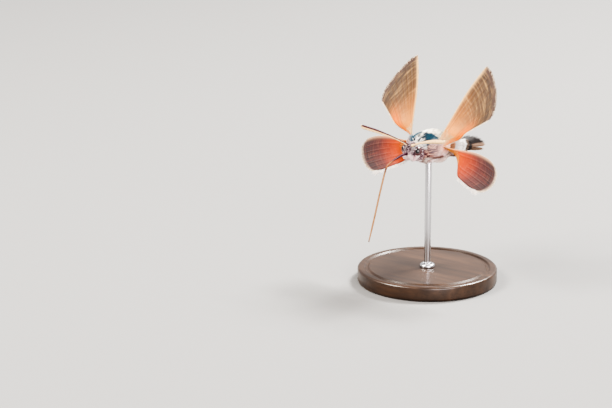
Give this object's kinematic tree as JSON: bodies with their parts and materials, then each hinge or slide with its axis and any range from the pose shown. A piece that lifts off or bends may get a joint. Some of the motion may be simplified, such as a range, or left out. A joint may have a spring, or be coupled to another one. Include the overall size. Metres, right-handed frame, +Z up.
{
  "type": "hummingbird hawk moth model on a display stand",
  "caption": "Life-size hovering hawk moth with raised forewings, open hindwings and a long bent proboscis, held by one rod on a round flat base.",
  "frame": {"origin": "centre of the stand base's flat underside", "axes": "+Z up; the moth faces -Y, its left side is +X and its right side is -X"},
  "size_m": [0.0388, 0.0444, 0.0532],
  "materials": {
    "body_fur": "matte",
    "palp_fur": "matte",
    "abdomen_fur": "matte",
    "tail_scales": "matte",
    "eye": "gloss",
    "antenna": "satin",
    "proboscis": "satin",
    "forewing": "matte",
    "hindwing": "matte",
    "leg": "matte",
    "stand_base": "satin",
    "stand_rod": "satin"
  },
  "bodies": {
    "root": {"head": "body_fur", "thorax": "body_fur", "abdomen": "abdomen_fur", "tail_fan": "tail_scales", "eye_left": "eye", "eye_right": "eye", "palp_left": "palp_fur", "palp_right": "palp_fur", "antenna_left": "antenna", "antenna_right": "antenna", "proboscis_upper": "proboscis", "proboscis_lower": "proboscis", "forewing_left": "forewing", "forewing_right": "forewing", "hindwing_left": "hindwing", "hindwing_right": "hindwing", "foreleg_left": "leg", "foreleg_right": "leg", "midleg_left": "leg", "midleg_right": "leg", "hindleg_left": "leg", "hindleg_right": "leg", "stand_base": "stand_base", "stand_rod": "stand_rod"}
  },
  "joints": []
}
